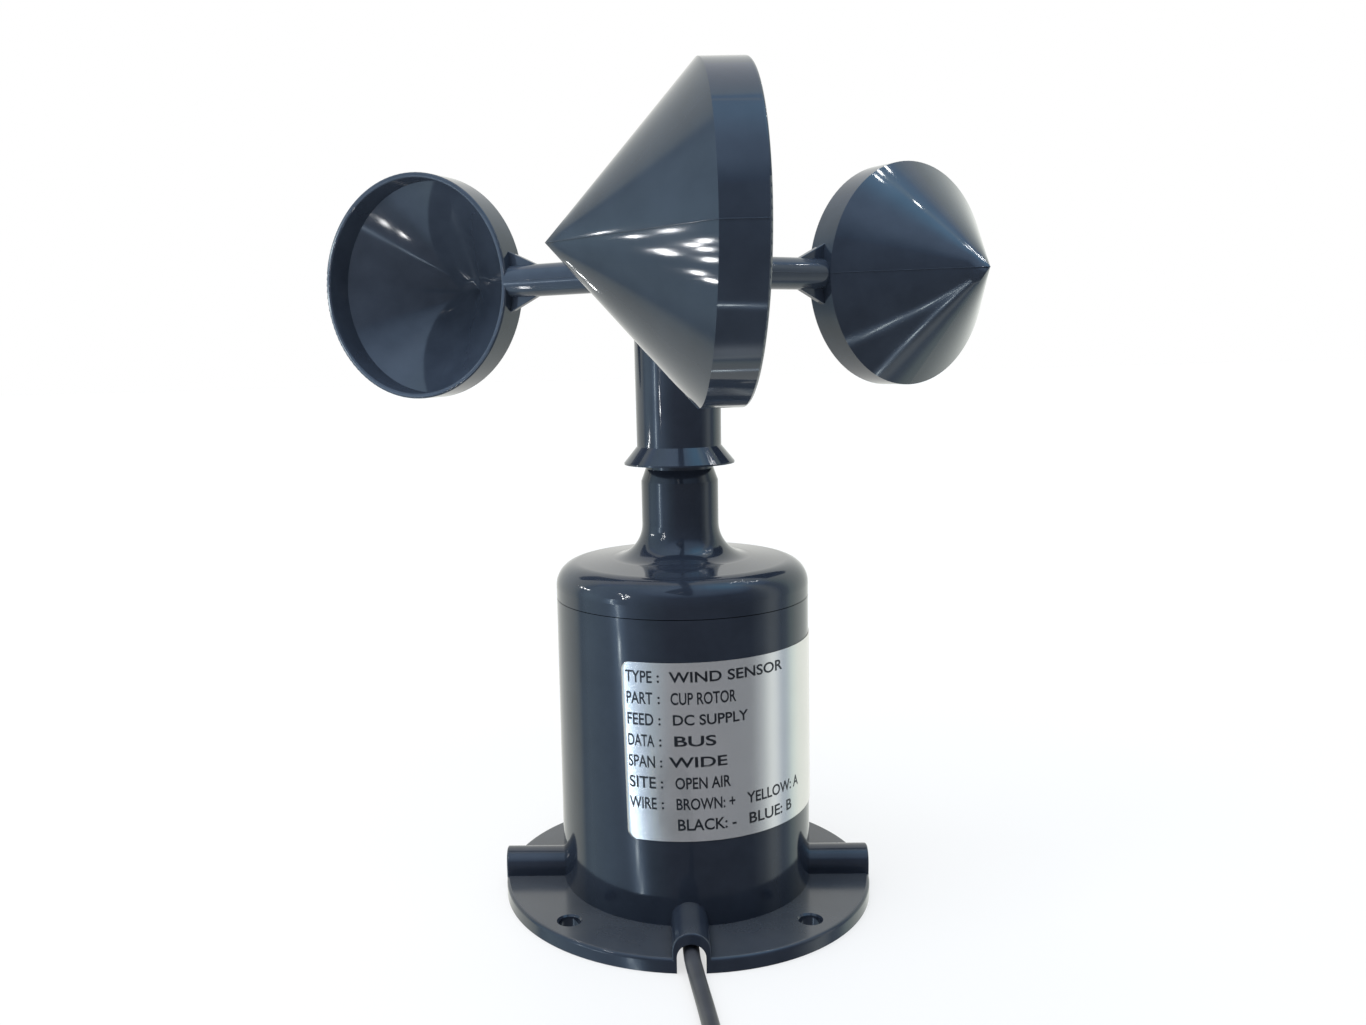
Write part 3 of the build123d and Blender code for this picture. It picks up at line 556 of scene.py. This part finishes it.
# Small lamps round the cups, in mm, for the bright points on them.
LAMPS = [
    (-122, -76, 148), (-118, -84, 137), (-112, -92, 140), (-114, -88, 121), (-113, -89, 118),
    (-110, -96, 126), (-108, -98, 122), (-108, -90, 103), (-106, -91, 98), (-107, -97, 114),
    (-108, -99, 129), (93, 24, 256), (89, 13, 256), (100, 38, 254), (105, 19, 247), (118, 8, 235),
    (125, 22, 232), (130, 30, 226)]
LOW_LAMPS = [(-74, -4, 92), (-79, -9, 94), (-70, 1, 90)]
LAMP_WATTS, LOW_LAMP_WATTS = 0.006, 0.003
LAMP_SIZE = 0.0014

# A panel that lights the inside of the left cup, and the soft light from above.
PANEL_PLACE, PANEL_AIM = (-0.084, -0.028, 0.140), (-0.0584, 0.0272, 0.133)
PANEL_WATTS, PANEL_SIZE = 0.036, 0.05
SUN_STRENGTH, SUN_SPREAD = 3.4, 50
SUN_TURN = (9, -8)


def make_floor():
    mesh = bpy.data.meshes.new("floor")
    corners = [(x * FLOOR_HALF, y * FLOOR_HALF, 0) for x, y in ((-1, -1), (1, -1), (1, 1), (-1, 1))]
    mesh.from_pydata(corners, [], [(0, 1, 2, 3)])
    floor = link(bpy.data.objects.new("floor", mesh))
    floor.location.z = -FLOOR_DROP
    floor.visible_glossy = False
    mat, tree, shader = new_material("floor_paper")
    tone = ramp(tree, noise(tree, *FLOOR_CLOUDS), [(0.3, FLOOR_TONES[0]), (0.7, FLOOR_TONES[1])])
    tree.links.new(tone, shader.inputs["Base Color"])
    shader.inputs["Roughness"].default_value = FLOOR_ROUGHNESS
    shader.inputs["Emission Color"].default_value = (1, 1, 1, 1)
    shader.inputs["Emission Strength"].default_value = FLOOR_GLOW
    floor.data.materials.append(mat)


def bell(tree, offset, width):
    """Smooth bump that is one at zero offset and fades out over the width."""
    square = math_node(tree, "POWER", math_node(tree, "DIVIDE", offset, width), 2.0)
    return math_node(tree, "EXPONENT", math_node(tree, "MULTIPLY", square, -1.0))


def glow_towards(tree, direction, azimuth, rise, width):
    """Round patch of light in one direction of the surroundings."""
    a, e = math.radians(azimuth), math.radians(rise)
    node = tree.nodes.new("ShaderNodeVectorMath")
    node.operation = "DOT_PRODUCT"
    tree.links.new(direction, node.inputs[0])
    node.inputs[1].default_value = (math.sin(a) * math.cos(e), -math.cos(a) * math.cos(e), math.sin(e))
    angle = math_node(tree, "ARCCOSINE", math_node(tree, "MINIMUM", node.outputs["Value"], 1.0))
    return bell(tree, angle, math.radians(width))


def make_world():
    """White sweep behind, bluish daylight from the left, dim room in front, a slanting row of lamps."""
    world = bpy.data.worlds.new("studio")
    scene.world = world
    world.use_nodes = True
    tree = world.node_tree
    direction = tree.nodes.new("ShaderNodeTexCoord").outputs["Generated"]
    axes = separate(tree, direction).outputs
    azimuth = math_node(tree, "ARCTAN2", axes["X"], math_node(tree, "MULTIPLY", axes["Y"], -1.0))
    rise = math_node(tree, "ARCSINE", axes["Z"])

    turn = math_node(tree, "MULTIPLY_ADD", azimuth, 0.5 / math.pi, 0.5)
    room = ramp(tree, turn, [(a / 360 + 0.5, colour) for a, colour in SURROUND])
    overhead = ease(tree, rise, *(math.radians(a) for a in CEILING_RISE))
    light = vector_node(tree, "MAXIMUM", room, tint(tree, overhead, CEILING_COLOUR))

    square = math_node(tree, "POWER", math_node(tree, "ABSOLUTE", rise), 2.0)
    bend = math_node(tree, "MULTIPLY", square, ROW_BEND)
    offset = math_node(tree, "SUBTRACT", azimuth, math_node(tree, "ADD", bend, ROW_START))
    low = math_node(tree, "LESS_THAN", rise, ROW_TOP)
    glow = math_node(tree, "MULTIPLY", bell(tree, offset, ROW_GLOW_WIDTH), low)
    light = vector_node(tree, "ADD", light, tint(tree, glow, ROW_GLOW_COLOUR))
    wave = math_node(tree, "SINE", math_node(tree, "MULTIPLY", rise, ROW_DOTS))
    dots = math_node(tree, "MAXIMUM", wave, ROW_GAP_LIGHT)
    line = math_node(tree, "MULTIPLY", bell(tree, offset, ROW_LINE_WIDTH), dots)
    spark = math_node(tree, "MULTIPLY", line, low)
    bright = math_node(tree, "MULTIPLY", spark, ROW_LINE_POWER)
    light = vector_node(tree, "ADD", light, tint(tree, bright, ROW_LINE_COLOUR))
    for (azimuth_at, rise_at), width, colour in GLOWS:
        patch = glow_towards(tree, direction, azimuth_at, rise_at, width)
        light = vector_node(tree, "ADD", light, tint(tree, patch, colour))

    path = tree.nodes.new("ShaderNodeLightPath")
    seen = mix(tree, path.outputs["Is Camera Ray"], light, (1, 1, 1))
    tree.links.new(seen, tree.nodes["Background"].inputs["Color"])


def make_light(name, kind, watts):
    light = bpy.data.lights.new(name, kind)
    light.energy = watts
    return light, link(bpy.data.objects.new(name, light))


def make_lights():
    for k, place in enumerate(LAMPS + LOW_LAMPS):
        watts = LAMP_WATTS if k < len(LAMPS) else LOW_LAMP_WATTS
        lamp, holder = make_light("lamp_%d" % k, "POINT", watts)
        lamp.shadow_soft_size = LAMP_SIZE
        holder.location = [c * MM for c in place]
    panel, holder = make_light("cup_panel", "AREA", PANEL_WATTS)
    panel.size = PANEL_SIZE
    holder.location = PANEL_PLACE
    holder.rotation_euler = (Vector(PANEL_AIM) - holder.location).to_track_quat("-Z", "Y").to_euler()
    holder.visible_glossy = False
    holder.visible_camera = False
    sun, holder = make_light("ceiling", "SUN", SUN_STRENGTH)
    sun.angle = math.radians(SUN_SPREAD)
    holder.rotation_euler = (math.radians(SUN_TURN[0]), math.radians(SUN_TURN[1]), 0)
    holder.visible_glossy = False


make_floor()
make_world()
make_lights()
scene.view_settings.view_transform = "Standard"
